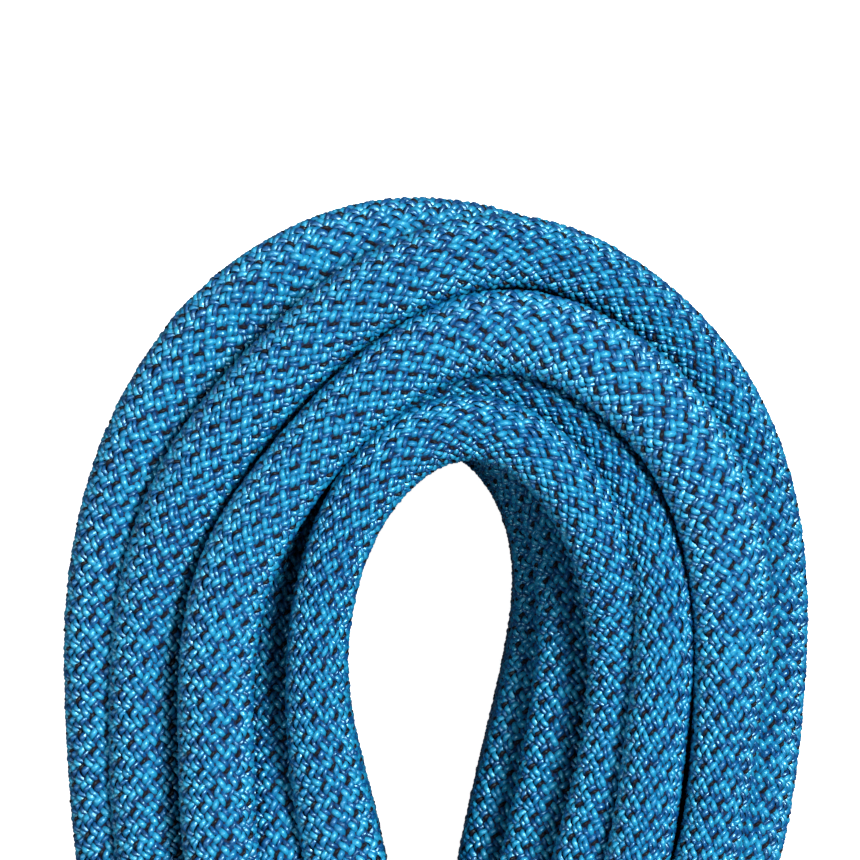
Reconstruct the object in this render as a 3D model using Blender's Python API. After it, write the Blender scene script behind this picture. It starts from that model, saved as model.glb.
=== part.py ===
"""A 30 m dynamic climbing rope, 9.8 mm thick, wound into a hank and bound round its waist with its own end.

The hank lies on its back: +X is its width, +Y points along it to the head loops, and +Z is up.
Lengths are in metres. The origin is under the middle of the hank, on the surface that it rests on.
"""

import math

import bmesh
import bpy
from mathutils import Vector

MM = 0.001
GAP = 0.3 * MM

ROPE_RADIUS = 4.9 * MM
SHEATH_WALL = 1.0 * MM

# The waist, an oval bundle of all the runs, and the turns of rope round it.
WAIST_HALF_WIDTH = 38.0 * MM
WAIST_HALF_HEIGHT = 29.5 * MM
WAIST_LOW = 89.0 * MM
WRAP_TURNS = 6
WRAP_PITCH = 9.9 * MM
WAIST_HIGH = WAIST_LOW + WRAP_TURNS * WRAP_PITCH
WRAP_THICKNESS = 2 * ROPE_RADIUS
WAIST_HEIGHT = WAIST_HALF_HEIGHT + GAP + WRAP_THICKNESS
WAIST_SIDES = 40

# The head loops: an oval arch on two legs that close in on the waist.
HEAD_ARCH_Y = 200.0 * MM
HEAD_OUTER = (43.4 * MM, 50.0 * MM)
HEAD_INNER = (9.2 * MM, 20.0 * MM)
HEAD_TOP = 62.0 * MM
# Each leg station from the waist up: y, inner x, outer x, underside, top.
HEAD_LEG = (
    (WAIST_HIGH + GAP, 0.6 * MM, 37.0 * MM, 9.0 * MM, 66.0 * MM),
    (158.0 * MM, 1.2 * MM, 39.0 * MM, 4.0 * MM, 64.0 * MM),
    (173.0 * MM, 3.8 * MM, 41.5 * MM, 0.0, HEAD_TOP),
    (187.0 * MM, 7.4 * MM, 42.8 * MM, 0.0, HEAD_TOP),
)

# The lower loops: longer legs, nearly touching, and a wider fold.
FOLD_Y = -198.0 * MM
FOLD_OUTER = (50.0 * MM, 52.0 * MM)
FOLD_INNER = (18.0 * MM, 20.0 * MM)
LOWER_TOP = 60.0 * MM
LOWER_LEFT_LEG = (
    (WAIST_LOW - GAP, 0.8 * MM, 37.0 * MM, 9.0 * MM, 64.0 * MM),
    (73.0 * MM, 1.2 * MM, 38.0 * MM, 3.0 * MM, 61.5 * MM),
    (53.0 * MM, 1.5 * MM, 39.5 * MM, 0.0, LOWER_TOP),
    (0.0, 2.0 * MM, 42.5 * MM, 0.0, LOWER_TOP),
    (-60.0 * MM, 5.0 * MM, 46.0 * MM, 0.0, LOWER_TOP),
    (-120.0 * MM, 11.5 * MM, 49.0 * MM, 0.0, LOWER_TOP),
    (-165.0 * MM, 16.0 * MM, 49.8 * MM, 0.0, LOWER_TOP),
)
# The right leg dips at the waist, where the start end comes out from under the turns and lies on it.
START_DIP = (52.0 * MM, 55.0 * MM)
LOWER_RIGHT_LEG = tuple(
    station[:4] + (START_DIP[i],) if i < len(START_DIP) else station
    for i, station in enumerate(LOWER_LEFT_LEG)
)
LEG_CORNER = 13.0 * MM
CORNER_STEPS = 4
ARCH_STEPS = 12

# The two free ends. Each comes out from under the turns and runs to a straight sleeved end.
WORKING_END_ROUTE = (
    (1.0 * MM, 88.3 * MM, 62.4 * MM),
    (1.0 * MM, 77.0 * MM, 62.0 * MM),
    (0.6 * MM, 61.0 * MM, 60.6 * MM),
    (0.0, 43.0 * MM, 59.5 * MM),
    (0.0, 25.0 * MM, 59.2 * MM),
)
START_END_ROUTE = (
    (19.0 * MM, 88.3 * MM, 58.6 * MM),
    (19.1 * MM, 83.0 * MM, 58.8 * MM),
    (19.4 * MM, 73.0 * MM, 60.6 * MM),
    (20.5 * MM, 58.0 * MM, 64.4 * MM),
    (21.5 * MM, 43.0 * MM, 66.0 * MM),
    (22.0 * MM, 23.0 * MM, 66.0 * MM),
    (22.0 * MM, -1.0 * MM, 66.0 * MM),
)
END_LENGTH = 40.0 * MM
SLEEVE_LENGTH = 38.0 * MM
SLEEVE_WALL = 0.5 * MM
TIP_THICKNESS = 2.4 * MM
TIP_BEVEL = 0.8 * MM
END_SIDES = 24

# The core: three strands round the marker tape, and nine round those.
CORE_STRAND_RADIUS = 0.7 * MM
CORE_LOBE = 0.08 * MM
CORE_RINGS = ((3, 1.25 * MM, 0.0), (9, 2.85 * MM, math.radians(20)))
CORE_SIDES = 9
CORE_LAY = 13.0 * MM
CORE_STEPS = 9
TAPE_WIDTH = 0.5 * MM
TAPE_THICKNESS = 0.2 * MM

SHEATH_BLUE = (0.016, 0.150, 0.330, 1.0)
SLEEVE_BLACK = (0.012, 0.013, 0.015, 1.0)
TIP_BLUE = (0.010, 0.060, 0.130, 1.0)
CORE_WHITE = (0.780, 0.780, 0.740, 1.0)
TAPE_RED = (0.550, 0.040, 0.030, 1.0)


def clear_scene():
    for old in list(bpy.data.objects):
        bpy.data.objects.remove(old, do_unlink=True)


def material(name, colour, roughness):
    made = bpy.data.materials.get(name) or bpy.data.materials.new(name)
    made.use_nodes = True
    shader = made.node_tree.nodes["Principled BSDF"]
    shader.inputs["Base Color"].default_value = colour
    shader.inputs["Roughness"].default_value = roughness
    shader.inputs["Metallic"].default_value = 0.0
    return made


def sheath_material():
    return material("sheath_blue", SHEATH_BLUE, 0.75)


def add_object(name, data, finish):
    made = bpy.data.objects.new(name, data)
    bpy.context.scene.collection.objects.link(made)
    data.materials.append(finish)
    return made


def mesh_object(name, shape, finish, smooth_angle=35.0):
    """An object from a finished bmesh, with its faces turned out and its round faces smooth."""
    bmesh.ops.recalc_face_normals(shape, faces=shape.faces)
    mesh = bpy.data.meshes.new(name)
    shape.to_mesh(mesh)
    shape.free()
    mesh.shade_smooth()
    mesh.set_sharp_from_angle(angle=math.radians(smooth_angle))
    return add_object(name, mesh, finish)


def bridge(shape, rings, closed=False):
    """Joins each ring of vertices to the next with quads, and the last to the first when closed."""
    pairs = list(zip(rings, rings[1:]))
    if closed:
        pairs.append((rings[-1], rings[0]))
    for low, high in pairs:
        for i in range(len(low)):
            j = (i + 1) % len(low)
            shape.faces.new((low[i], low[j], high[j], high[i]))


def loft(name, rings, finish, smooth_angle=35.0):
    """A closed solid through rings of points, with a flat face on the first and the last."""
    shape = bmesh.new()
    made = [[shape.verts.new(point) for point in ring] for ring in rings]
    bridge(shape, made)
    shape.faces.new(made[0])
    shape.faces.new(made[-1])
    return mesh_object(name, shape, finish, smooth_angle)


def leg_section(inner, outer, low, high):
    """A rounded upright rectangle between two points seen from above, from low to high."""
    inner, outer = Vector(inner), Vector(outer)
    across = outer - inner
    width = across.length
    corner = min(LEG_CORNER, 0.45 * width, 0.45 * (high - low))
    centres = (
        (width - corner, high - corner, 0.0),
        (corner, high - corner, 90.0),
        (corner, low + corner, 180.0),
        (width - corner, low + corner, 270.0),
    )
    ring = []
    for run, rise, start in centres:
        for step in range(CORNER_STEPS + 1):
            angle = math.radians(start + 90.0 * step / CORNER_STEPS)
            along = inner + across * ((run + corner * math.cos(angle)) / width)
            ring.append((along.x, along.y, rise + corner * math.sin(angle)))
    return ring


def bundle_loop(name, left_leg, right_leg, arch_y, outer_axes, inner_axes, top, side):
    """A U of many runs: two legs joined by an oval arch. Side is 1 for an arch above the legs, -1 below."""
    sections = [
        leg_section((-inner, y), (-outer, y), low, high)
        for y, inner, outer, low, high in left_leg
    ]
    for step in range(ARCH_STEPS + 1):
        angle = math.pi * (1.0 - step / ARCH_STEPS)
        reach, rise = math.cos(angle), side * math.sin(angle)
        inner = (inner_axes[0] * reach, arch_y + inner_axes[1] * rise)
        outer = (outer_axes[0] * reach, arch_y + outer_axes[1] * rise)
        sections.append(leg_section(inner, outer, 0.0, top))
    sections += [
        leg_section((inner, y), (outer, y), low, high)
        for y, inner, outer, low, high in reversed(right_leg)
    ]
    return loft(name, sections, sheath_material(), smooth_angle=50.0)


def head_loops():
    return bundle_loop(
        "head_loops", HEAD_LEG, HEAD_LEG, HEAD_ARCH_Y, HEAD_OUTER, HEAD_INNER, HEAD_TOP, 1
    )


def lower_loops():
    return bundle_loop(
        "lower_loops", LOWER_LEFT_LEG, LOWER_RIGHT_LEG, FOLD_Y, FOLD_OUTER, FOLD_INNER, LOWER_TOP, -1
    )


def waist_ring(y, outset):
    """Points of the oval round the waist, this far outside the bundle."""
    ring = []
    for i in range(WAIST_SIDES):
        angle = math.tau * i / WAIST_SIDES
        x = (WAIST_HALF_WIDTH + outset) * math.cos(angle)
        z = WAIST_HEIGHT + (WAIST_HALF_HEIGHT + outset) * math.sin(angle)
        ring.append((x, y, z))
    return ring


def waist_strands():
    rings = [waist_ring(WAIST_LOW, 0.0), waist_ring(WAIST_HIGH, 0.0)]
    return loft("waist_strands", rings, sheath_material())


def waist_wraps():
    """The turns round the waist, as one ring with a rounded rib for each turn."""
    shape = bmesh.new()
    profile = [(WAIST_HIGH, GAP), (WAIST_LOW, GAP)]
    for turn in range(WRAP_TURNS):
        middle = WAIST_LOW + (turn + 0.5) * WRAP_PITCH
        for degrees in (165, 120, 90, 60, 15):
            angle = math.radians(degrees)
            y = middle + 0.5 * WRAP_PITCH * math.cos(angle)
            profile.append((y, GAP + ROPE_RADIUS * (1.0 + math.sin(angle))))
    rings = [[shape.verts.new(p) for p in waist_ring(y, outset)] for y, outset in profile]
    bridge(shape, rings, closed=True)
    return mesh_object("waist_wraps", shape, sheath_material())


def rope_run(name, route):
    """A free stretch of rope as a plain round tube along its route."""
    curve = bpy.data.curves.new(name, "CURVE")
    curve.dimensions = "3D"
    curve.bevel_depth = ROPE_RADIUS
    curve.bevel_resolution = 4
    curve.use_fill_caps = True
    spline = curve.splines.new("POLY")
    spline.points.add(len(route) - 1)
    for knot, point in zip(spline.points, route):
        knot.co = (*point, 1.0)
    return add_object(name, curve, sheath_material())


def disc(centre, radius, y, sides=END_SIDES, lobe=0.0, turn=0.0):
    """A ring of points facing along Y. A lobe gives it the three-ply outline of a core strand."""
    ring = []
    for i in range(sides):
        angle = math.tau * i / sides
        reach = radius - lobe + lobe * math.cos(3 * (angle - turn))
        ring.append((centre[0] + reach * math.cos(angle), y, centre[1] + reach * math.sin(angle)))
    return ring


def hollow_tube(name, centre, outer, inner, high, low, finish):
    """An open tube along Y, from high down to low."""
    shape = bmesh.new()
    corners = ((outer, high), (outer, low), (inner, low), (inner, high))
    rings = [[shape.verts.new(p) for p in disc(centre, radius, y)] for radius, y in corners]
    bridge(shape, rings, closed=True)
    return mesh_object(name, shape, finish)


def core_strand(name, centre, high, low):
    """One core strand, three plies twisted together."""
    rings = []
    for step in range(CORE_STEPS + 1):
        y = high + (low - high) * step / CORE_STEPS
        turn = math.tau * (high - y) / CORE_LAY
        rings.append(disc(centre, CORE_STRAND_RADIUS, y, CORE_SIDES, CORE_LOBE, turn))
    return loft(name, rings, material("core_white", CORE_WHITE, 0.6), smooth_angle=60.0)


def fused_tip(name, centre, high):
    """The melted end of the rope, a button with a rounded rim."""
    low = high - TIP_THICKNESS
    rings = [
        disc(centre, ROPE_RADIUS, high),
        disc(centre, ROPE_RADIUS, low + TIP_BEVEL),
        disc(centre, ROPE_RADIUS - 0.3 * TIP_BEVEL, low + 0.3 * TIP_BEVEL),
        disc(centre, ROPE_RADIUS - TIP_BEVEL, low),
    ]
    return loft(name, rings, material("fused_blue", TIP_BLUE, 0.35))


def marker_tape(name, centre, high, low):
    """The thin marker tape that runs down the middle of the core."""
    x, z = 0.5 * TAPE_WIDTH, 0.5 * TAPE_THICKNESS
    corners = ((-x, -z), (x, -z), (x, z), (-x, z))
    rings = [[(centre[0] + a, y, centre[1] + b) for a, b in corners] for y in (high, low)]
    return loft(name, rings, material("tape_red", TAPE_RED, 0.5))


def rope_end(prefix, route):
    """A free end: its run, and its straight last stretch with the sheath, core, tip and sleeve apart."""
    rope_run(f"{prefix}_run", route)
    x, y, z = route[-1]
    centre = (x, z)
    high = y - GAP
    low = high - END_LENGTH
    hollow_tube(
        f"{prefix}_sheath", centre, ROPE_RADIUS, ROPE_RADIUS - SHEATH_WALL, high, low, sheath_material()
    )
    number = 0
    for count, ring_radius, offset in CORE_RINGS:
        for i in range(count):
            number += 1
            angle = offset + math.tau * i / count
            place = (x + ring_radius * math.cos(angle), z + ring_radius * math.sin(angle))
            core_strand(f"{prefix}_core_strand_{number:02d}", place, high, low)
    marker_tape(f"{prefix}_marker_tape", centre, high, low)
    tip_face = low - GAP
    fused_tip(f"{prefix}_fused_tip", centre, tip_face)
    sleeve_low = tip_face - TIP_THICKNESS + TIP_BEVEL
    sleeve_inner = ROPE_RADIUS + GAP
    hollow_tube(
        f"{prefix}_shrink_sleeve",
        centre,
        sleeve_inner + SLEEVE_WALL,
        sleeve_inner,
        sleeve_low + SLEEVE_LENGTH,
        sleeve_low,
        material("sleeve_black", SLEEVE_BLACK, 0.4),
    )


def build():
    clear_scene()
    head_loops()
    lower_loops()
    waist_strands()
    waist_wraps()
    rope_end("working_end", WORKING_END_ROUTE)
    rope_end("start_end", START_END_ROUTE)


build()
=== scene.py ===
"""A 30 m dynamic climbing rope wound into a bound hank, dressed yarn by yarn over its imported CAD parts.

The hank lies on its back and is seen from straight above. Lengths in this script are in millimetres
until a mesh is made, and every other object is in metres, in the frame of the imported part.
"""

import math

import bpy
import numpy as np
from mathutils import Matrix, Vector
from mathutils.bvhtree import BVHTree
from mathutils.kdtree import KDTree


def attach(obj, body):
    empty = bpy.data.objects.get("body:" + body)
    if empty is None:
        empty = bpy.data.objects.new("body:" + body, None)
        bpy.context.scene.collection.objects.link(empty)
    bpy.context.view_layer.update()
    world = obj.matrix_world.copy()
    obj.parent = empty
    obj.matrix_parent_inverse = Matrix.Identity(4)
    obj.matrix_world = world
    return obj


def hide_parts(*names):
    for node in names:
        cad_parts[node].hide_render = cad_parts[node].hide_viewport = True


MM = 0.001
TAU = math.tau
SEED = 98

ROPE_RADIUS = 4.9
ROPE_DIAMETER = 2 * ROPE_RADIUS

# ---------------------------------------------------------------- the hank's layout, as in the CAD part
FRONT_Z = 64.0
WAIST_HALF_WIDTH, WAIST_HALF_HEIGHT = 38.0, 29.5
WAIST_LOW, WAIST_HIGH = 89.0, 148.4
WRAP_PITCH = 9.9
WRAP_CLEARANCE = 0.3
WAIST_Z = WAIST_HALF_HEIGHT + WRAP_CLEARANCE + ROPE_DIAMETER
HEAD_CENTRE_Y = 200.0
HEAD_OUTER = (43.4, 50.0)
HEAD_INNER = (11.0, 20.5)
LOWER_OUTER = 52.5
LOWER_END_Y = -251.0
FOLD_Y = -198.0
FOLD_INNER = (18.0, 20.0)
FOLD_OUTER = (50.0, 52.0)
ROW_COUNT, COLUMN_COUNT = 7, 4
TOP_ROW_Z = 56.0

# The slots of the loops' runs through the waist: how far they keep from its edge, and where they start.
SLOT_TOP_Y, SLOT_BOTTOM_Y = 140.0, 97.0
SLOT_INSET_X, SLOT_INSET_Z = 3.0, 5.2
SLOT_FIRST_X, SLOT_ROOM = 4.6, 6.0

# The head strands that show, from the right leg over the crown to the left leg.
# Each point: x, y, depth behind the front row, width as a share of the rope's own.
HEAD_STRANDS = {
    "inner_front": (
        (17.8, 173.5, 7.0, 0.86), (20.0, 180, 7.0, 0.86), (21.4, 187, 7.0, 0.86),
        (22.0, 200, 6.6, 0.86), (20.4, 207.6, 5.0, 0.84), (16.6, 215.6, 1.4, 0.8),
        (10.9, 221.9, 0.6, 0.78), (5.4, 224.3, 0.4, 0.8), (1.0, 224.0, 0.3, 0.82),
        (-3.6, 221.3, 0, 0.82), (-7.8, 217.0, 0, 0.8), (-11.4, 210, 0, 0.76), (-13.2, 203, 0, 0.74),
        (-14.0, 195, 0, 0.74), (-13.5, 187, 0, 0.8), (-12.1, 180, 0, 0.93), (-10.5, 173, 0, 1.0),
    ),
    "inner_recessed": (
        (23.9, 173.5, 0.4, 0.78), (25.6, 187, 0.6, 0.76), (27.0, 200, 1.8, 0.75),
        (25.8, 209, 3.8, 0.72), (22.9, 216.9, 6.2, 0.7), (17.6, 223.9, 7.2, 0.72),
        (10.3, 228.6, 8.0, 0.76), (2.0, 229.8, 9.0, 0.8), (-5.6, 226.0, 10.0, 0.82),
        (-12.5, 217.0, 11.2, 0.85), (-17.0, 208.2, 11.0, 0.9), (-18.9, 200, 10.0, 0.9),
        (-18.6, 189, 9.0, 0.92), (-18.3, 180, 6.4, 0.92), (-18.1, 173, 4.6, 0.92),
    ),
    "middle_front": (
        (32.0, 173.5, 0, 0.76), (33.7, 187, 0, 0.8), (34.4, 194, 0, 0.89), (34.8, 200, 0, 0.95),
        (34.2, 208.5, 0, 1.02), (31.0, 218.6, 0, 1.03), (26.4, 225.3, 0, 1.05), (19.6, 231.0, 0, 1.05),
        (12.7, 234.5, 0, 1.05), (6.6, 235.2, 0, 1.02), (0.0, 233.0, 0, 0.95), (-5.2, 229.6, 0, 0.87),
        (-9.7, 225.9, 0, 0.84), (-15.4, 219.6, 0, 0.84), (-19.4, 214.2, 0, 0.88),
        (-22.8, 208.6, 0, 0.93), (-24.9, 202, 0, 0.94), (-25.6, 193, 0, 0.92), (-25.4, 182, 0, 0.92),
        (-25.1, 173, 0, 0.92),
    ),
    "outer_front": (
        (36.3, 173.5, 5.0, 0.9), (38.3, 187, 7.0, 0.93), (39.2, 200, 8.2, 0.95), (39.0, 208, 8.0, 0.95),
        (37.4, 218.3, 8.0, 0.88), (32.9, 228.9, 7.4, 0.8), (26.5, 236.1, 6.6, 0.78),
        (20.0, 240.8, 5.4, 0.8), (12.9, 243.9, 3.6, 0.86), (6.5, 244.4, 2.0, 0.9),
        (-0.8, 242.3, 0.7, 0.93), (-7.3, 239.2, 0.6, 0.93), (-13.2, 234.7, 1.0, 0.92),
        (-20.8, 227.2, 2.0, 0.93), (-25.7, 221.3, 3.4, 0.95), (-30.0, 213.2, 5.4, 0.95),
        (-32.7, 205, 7.0, 0.95), (-33.5, 196, 7.6, 0.95), (-33.7, 188, 7.6, 0.95),
        (-33.0, 173, 7.6, 0.95),
    ),
    "outer_shoulder": (
        (34.6, 173.5, 15.6, 0.95), (37.0, 187, 17.0, 0.95), (38.0, 200, 17.6, 0.95),
        (36.8, 214, 17.0, 0.95), (29.6, 229.6, 15.4, 0.95), (18.6, 239.2, 13.2, 0.95),
        (6.4, 242.8, 11.4, 0.95), (-5.0, 238.6, 11.8, 0.95), (-11.8, 233.0, 13.0, 0.95),
        (-18.6, 225.2, 14.0, 0.95), (-23.6, 216.6, 14.6, 0.96), (-26.4, 208, 14.4, 0.96),
        (-26.6, 193, 15.2, 0.97), (-26.0, 173, 15.2, 1.0),
    ),
    "outer_edge": (
        (35.2, 173.5, 25.4, 1.0), (38.5, 200, 26.0, 1.0), (35.6, 217.6, 25.4, 1.0),
        (28.0, 230.9, 23.6, 1.0), (16.5, 240.6, 20.4, 1.0), (3.5, 245.4, 15.0, 1.0),
        (-4.0, 245.9, 12.0, 1.0), (-9.8, 244.9, 9.8, 1.0), (-16.5, 242.0, 9.6, 1.0),
        (-22.3, 238.3, 9.4, 1.0), (-31.0, 228.0, 9.6, 1.0), (-36.4, 215.6, 10.8, 1.0),
        (-38.8, 202, 11.8, 1.0), (-38.7, 190, 12.2, 1.0), (-37.5, 173, 12.2, 1.0),
    ),
    "inner_shaded": (
        (12.5, 173.5, 17.0, 0.94), (14.6, 184, 17.4, 0.94), (16.2, 194, 17.8, 0.94),
        (16.6, 203, 17.6, 0.92), (15.0, 212, 16.4, 0.88), (10.4, 221.0, 14.2, 0.86),
        (2.4, 225.6, 12.2, 0.86), (-5.2, 221.8, 13, 0.88), (-11.2, 214.4, 14.3, 0.9),
        (-14.7, 206, 15.4, 0.92), (-15.7, 198, 15.6, 0.92), (-15.2, 187, 15.6, 0.94),
        (-12.0, 173, 14.6, 0.96),
    ),
    "inner_deep": (
        (7.7, 173.5, 25.8, 0.97), (9.8, 182, 26.4, 0.97), (12.3, 191, 27.0, 0.97),
        (14.2, 200, 27.0, 0.96), (14.1, 208, 26.0, 0.94), (12.3, 215.7, 24.0, 0.92),
        (8.8, 222.4, 21.4, 0.92), (1.8, 226.1, 21.6, 0.92), (-5.2, 222.2, 22.6, 0.92),
        (-11.5, 214.8, 24, 0.92), (-15.1, 206, 24.8, 0.94), (-16.0, 198, 25, 0.96),
        (-15.3, 187, 25, 0.97), (-12.2, 173, 24, 1.0),
    ),
}

# Loops in the order that they are laid: the name of a head strand or None, then row and column of its slot.
LAID = (
    [("inner_front", 0, 0), ("inner_recessed", 0, 1), ("middle_front", 0, 2), ("outer_front", 0, 3)]
    + [("outer_shoulder", 1, 3), (None, 1, 2), (None, 1, 1), ("inner_shaded", 1, 0)]
    + [("inner_deep", 2, 0), (None, 2, 1), (None, 2, 2), ("outer_edge", 2, 3)]
    + [(None, row, column if row % 2 else 3 - column) for row in range(3, 7) for column in (3, 2, 1, 0)]
)

# The hidden loops over the head: how deep each row lies on the two legs, the legs' edges as
# y, inner x, outer x, and the places round the crown in degrees.
HIDDEN_RIGHT_DEPTHS = (10.0, 18.6, 27.0, 35.5, 44.0, 52.5, 59.0)
HIDDEN_LEFT_DEPTHS = (10.0, 21.5, 29.0, 36.0, 44.0, 52.0, 59.0)
HIDDEN_RIGHT_LEG = ((173.5, 2.4, 41.5), (187, 5.8, 42.6), (200, 8.4, 43.2))
HIDDEN_LEFT_LEG = ((200, 10.0, 43.2), (187, 9.0, 42.6), (173.5, 5.4, 41.5))
HIDDEN_CROWN_DEGREES = (24, 48, 72, 96, 120, 144, 164)
HIDDEN_WIDTH = 0.95

# The lower legs' edges as y, inner x, outer x, and the places round the lower fold in degrees.
LOWER_LEG = (
    (66, 1.2, 37.0), (40, 1.4, 39.5), (0, 2.0, 42.5), (-60, 5.0, 46.0), (-120, 11.5, 49.0),
    (-165, 16.0, 50.0),
)
FOLD_DEGREES = (0, 22, 45, 68, 90, 112, 135, 158, 180)
FOLD_WIDTH = 0.97

# The hole's edge on each side, from the waist up: y, left x, right x. Hidden strands keep behind it.
HOLE_EDGE = (
    (152.0, -1.9, -1.5), (160.0, -3.4, 0.4), (173.0, -5.9, 2.8), (180.0, -7.7, 4.4), (187.0, -9.7, 6.1),
    (194.0, -10.6, 7.8), (201.0, -10.0, 9.1), (208.0, -8.1, 9.4), (215.0, -4.2, 8.2), (220.6, 4.1, 4.1),
)

# The free ends, as the CAD part has them.
START_ROUTE = (
    (22.0, -41.3, 66.0), (22.0, -28.0, 66.0), (22.0, -14.0, 66.0), (22.0, -1.0, 66.0), (22.0, 11.0, 66.0),
    (22.0, 23.0, 66.0), (21.5, 43.0, 66.0), (20.5, 58.0, 64.4), (19.4, 73.0, 60.6), (19.1, 83.0, 58.8),
    (19.0, 88.3, 58.6), (18.6, 104.0, 58.6), (18.0, 122.0, 59.4), (17.6, 140.0, 60.8),
)
WRAP_START = ((10.0, 62.0, 4.9), (9.6, 78.0, 4.9), (12.2, 88.0, 5.8))
# The turns round the waist, in degrees from the right side.
WRAP_FROM, WRAP_TO, WRAP_STEP = -60.0, 1872.0, 14.0
WRAP_FIRST_Y = 93.6
TUCKED_ROUTE = (
    (2.6, 151.4, 72.0), (0.8, 153.6, 68.4), (0.8, 149.6, 64.8), (1.0, 141.0, 64.2), (1.0, 118.0, 64.2),
    (1.0, 98.0, 63.6), (1.0, 88.3, 62.4), (1.0, 77.0, 62.0), (0.6, 61.0, 60.6), (0.0, 43.0, 59.5),
    (0.0, 33.0, 59.2), (0.0, 25.0, 59.2), (0.0, 12.0, 59.2), (0.0, -2.0, 59.2), (0.0, -15.3, 59.2),
)
END_STRETCH = 40.3
END_GAP = 0.3
JACKET_INNER = 3.95
FIXED_BELOW_Y = 95.0

# The easing apart of the hidden runs. Runs nearer than SETTLE_SPACING push each other away, and a
# BLEND is how many rows on both sides share in a row's freedom, move or width.
SETTLE_TURNS, SETTLE_LOOK_AGAIN = 90, 15
SETTLE_SPACING, SETTLE_REACH, SETTLE_PUSH = 9.1, 13.0, 0.09
SETTLE_NEAREST = 0.5
FREE_BLEND, MOVE_BLEND, WIDTH_BLEND = 3, 2, 6
SAME_STRETCH = 4
SMOOTHINGS = 2

# The room that the hidden runs are held in: a waist that flares past its turns, the head's outline,
# its sides below the crown as y and half width, and the arch over the hole.
WAIST_FLARE, WAIST_SPARE, WAIST_FAR = 0.45, 4.6, 30.0
HIDDEN_INSET = 5.2
HEAD_SIDE = ((150.0, 33.0), (173.0, 36.6))
HOLE_SIDE_TOP = 212.0
ARCH_FROM_Y, ARCH_REACH = 206.0, (15.2, 25.9)

# ---------------------------------------------------------------- the braid
# The carriers of each lean, how far apart their crossings lie along the rope, and their angle to it.
CARRIERS = 16
BRAID_PITCH = 0.2 * ROPE_DIAMETER
BRAID_ANGLE = math.atan2(ROPE_RADIUS * TAU / CARRIERS, BRAID_PITCH)
# Yarn shapes: the middle's distance from its carrier's middle, the width, the share of the full length.
UPPER_YARN = (0.29, 0.80, 1.0)
LOWER_YARN = (-0.385, 0.60, 1.0)
TRACER_YARN = (0.43, 0.50, 0.72)
PARTNER_YARN = (-0.19, 0.82, 1.0)
# What all yarns share: size, how deep and how suddenly the ends dive, the tilt of one yarn against
# another, how far round its own bow a yarn reaches, and how much narrower its ends are.
YARN_HEIGHT, YARN_HALF_LENGTH = 0.34, 0.92
YARN_DIVE, YARN_DIVE_CURVE = 0.66, 0.9
YARN_TILT = 0.10
YARN_SIDE_ANGLE = 1.45
YARN_TAPER = 0.3
# How much the yarns vary from each other: share of length, share of width, shift and lift.
YARN_SPREAD = (0.05, 0.05, 0.06, 0.04)
# How much of the rope's very ends has no yarns.
BRAID_MARGIN = 2.0
# The tones that each kind of yarn draws from, as places in TONES, a likelier one more than once.
UPPER_TONES, LOWER_TONES, PARTNER_TONES = (0, 0, 0, 1), (1, 2, 2, 3), (1, 1, 2)
TRACER = 4
# The radius of the ground under the yarns, which is painted near-black navy as the shade in the gaps
# between them.
BASE_RADIUS = 4.36
# The most triangles in a piece of yarns, under the limit for its exported mesh.
PIECE_TRIANGLES = 198_000
BURIED, ROUND_LOOK, FRONT_LOOK = 0, 1, 2
# Each look that gets yarns: its number, its name, and the rows and columns of points in a yarn.
YARN_LOOKS = ((FRONT_LOOK, "front", (6, 5)), (ROUND_LOOK, "round", (3, 3)))

# ---------------------------------------------------------------- how finely the rope is made
# Steps along the line: of the curve's first points, of the rows that settle, and of the finished line.
CURVE_STEP, SAMPLE, FINE = 0.25, 5.0, 1.0
TUBE_STEP, TUBE_SIDES = 5.0, 16
JACKET_ROWS, JACKET_SIDES = 21, 24
POINT_RADIUS = 0.01
# The least length to divide by, and how far from upright the line leans before it has a level side.
TINY = 1e-6
STEEP = 0.2

# The patches of rope that are tested for being seen: their size and lift, the rays' directions as
# shares of outward, ahead and across, how far a ray runs, and how much a patch may face away.
PATCH_STEP, PATCH_SIDES, PATCH_LIFT = 3.0, 16, 0.35
PATCH_TILTS = ((1, 0, 0), (1, 1.2, 0), (1, -1.2, 0), (1, 0, 1.2), (1, 0, -1.2))
OPEN_DISTANCE, CAMERA_RAY = 160.0, 400.0
FACING_LEAST = -0.25

# ---------------------------------------------------------------- colours
TONES = {
    "light": (0.008, 0.205, 0.375),
    "pale": (0.002, 0.128, 0.290),
    "mid": (0.000, 0.054, 0.185),
    "deep": (0.000, 0.030, 0.125),
    "tracer": (0.009, 0.006, 0.008),
}
# The ground's colour: near-black navy, painted shade for the gaps between the yarns, where the braid's
# lower yarns lie in shadow.
GAP_SHADE_NAVY = (0.000, 0.006, 0.030)
GLEAM_TINT = (0.42, 0.86, 1.0)
YARN_IOR, TRACER_IOR = 1.66, 1.45
YARN_SHINE, TRACER_SHINE = 1.0, 0.2
# The bands that a wave texture of scale 1 has in a metre, and the sleeve ribs' slant in radians.
WAVE_BANDS = 3.18
RIB_SLANT = 0.785

# ---------------------------------------------------------------- camera, lights and floor, lamps in metres
# The frame is what the camera sees at the front row, and its reach takes in a little more.
FRAME_CENTRE = (-0.6, 223.0)
FRAME_WIDTH = 100.0
FRAME_REACH = (52.0, 53.0)
CAMERA_HEIGHT = 1300.0
SENSOR_WIDTH = 36.0
CLIP_NEAR, CLIP_FAR = 0.05, 60.0
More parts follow.
